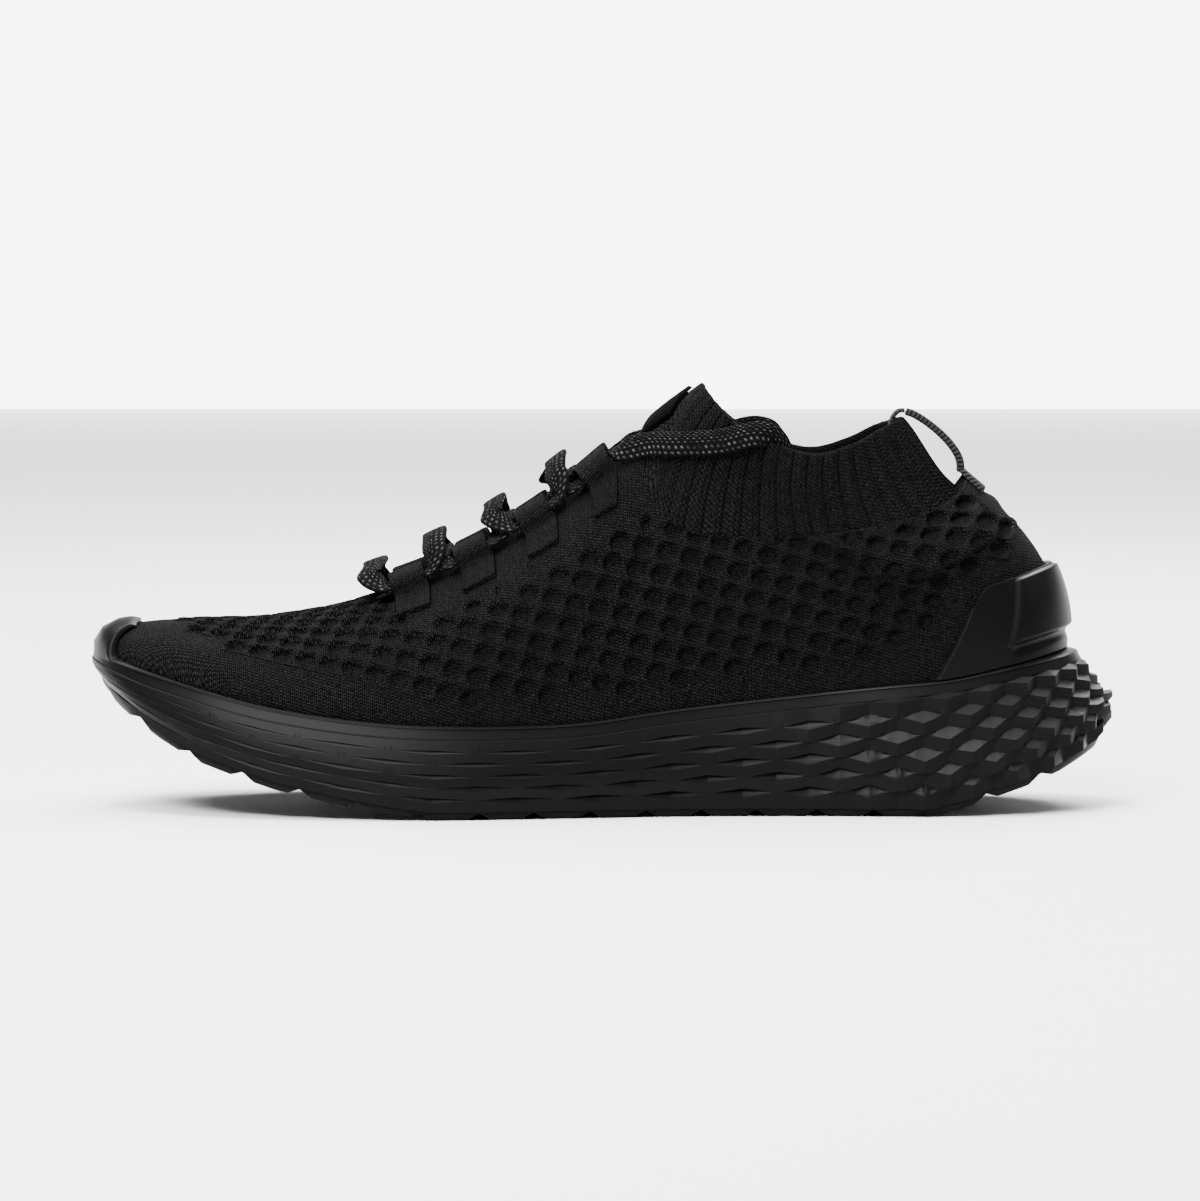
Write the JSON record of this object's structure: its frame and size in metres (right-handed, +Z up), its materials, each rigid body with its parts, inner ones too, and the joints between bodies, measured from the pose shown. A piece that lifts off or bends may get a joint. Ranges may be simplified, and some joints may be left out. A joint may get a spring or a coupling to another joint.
{
  "type": "running shoe",
  "caption": "Low knitted running shoe for a left foot: sock-like upper with ribbed collar, laced ribbon loops, moulded heel counter and a deep lattice foam sole with a notched rubber outsole.",
  "frame": {"origin": "on the ground under the middle of the shoe's outer box", "axes": "toe toward -X, heel toward +X, lateral (outer) side -Y, medial (inner) side +Y, +Z up"},
  "size_m": [0.2979, 0.1082, 0.1234],
  "materials": {
    "knit": "knitted",
    "rib": "ribbed knit",
    "lining": "smooth knit",
    "rubber": "satin",
    "foam": "satin moulded foam",
    "inner_foam": "open foam",
    "board": "non-woven board",
    "stiffener": "matte",
    "moulding": "satin",
    "webbing": "woven ribbon",
    "lace": "woven, with bright flecks",
    "label": "satin woven",
    "plastic": "gloss"
  },
  "bodies": {
    "shoe": {"outsole": "rubber", "midsole": "foam", "strobel_board": "board", "sockliner": "inner_foam", "sockliner_cover": "lining", "knit_upper": "knit", "rib_collar": "rib", "bootie_lining": "lining", "toe_puff": "stiffener", "heel_stiffener": "stiffener", "heel_counter": "moulding", "tongue_label": "label", "ankle_pad_lateral": "inner_foam", "ankle_pad_medial": "inner_foam", "lace": "lace", "lace_tail_lateral": "lace", "lace_tail_medial": "lace", "aglet_lateral": "plastic", "aglet_medial": "plastic", "pull_tab_anchor_top": "webbing", "pull_tab_anchor_low": "webbing", "lace_loop_lateral_1": "webbing", "lace_loop_lateral_2": "webbing", "lace_loop_lateral_3": "webbing", "lace_loop_lateral_4": "webbing", "lace_loop_medial_1": "webbing", "lace_loop_medial_2": "webbing", "lace_loop_medial_3": "webbing", "lace_loop_medial_4": "webbing"},
    "pull_tab": {"heel_pull_tab": "webbing"}
  },
  "joints": [
    {"name": "pull_tab_swing", "type": "hinge", "parent": "shoe", "child": "pull_tab", "pos_m": [0.0894, 0, 0.1152], "axis": [0.7469, 0, -0.665], "range_deg": [-20, 20]}
  ]
}
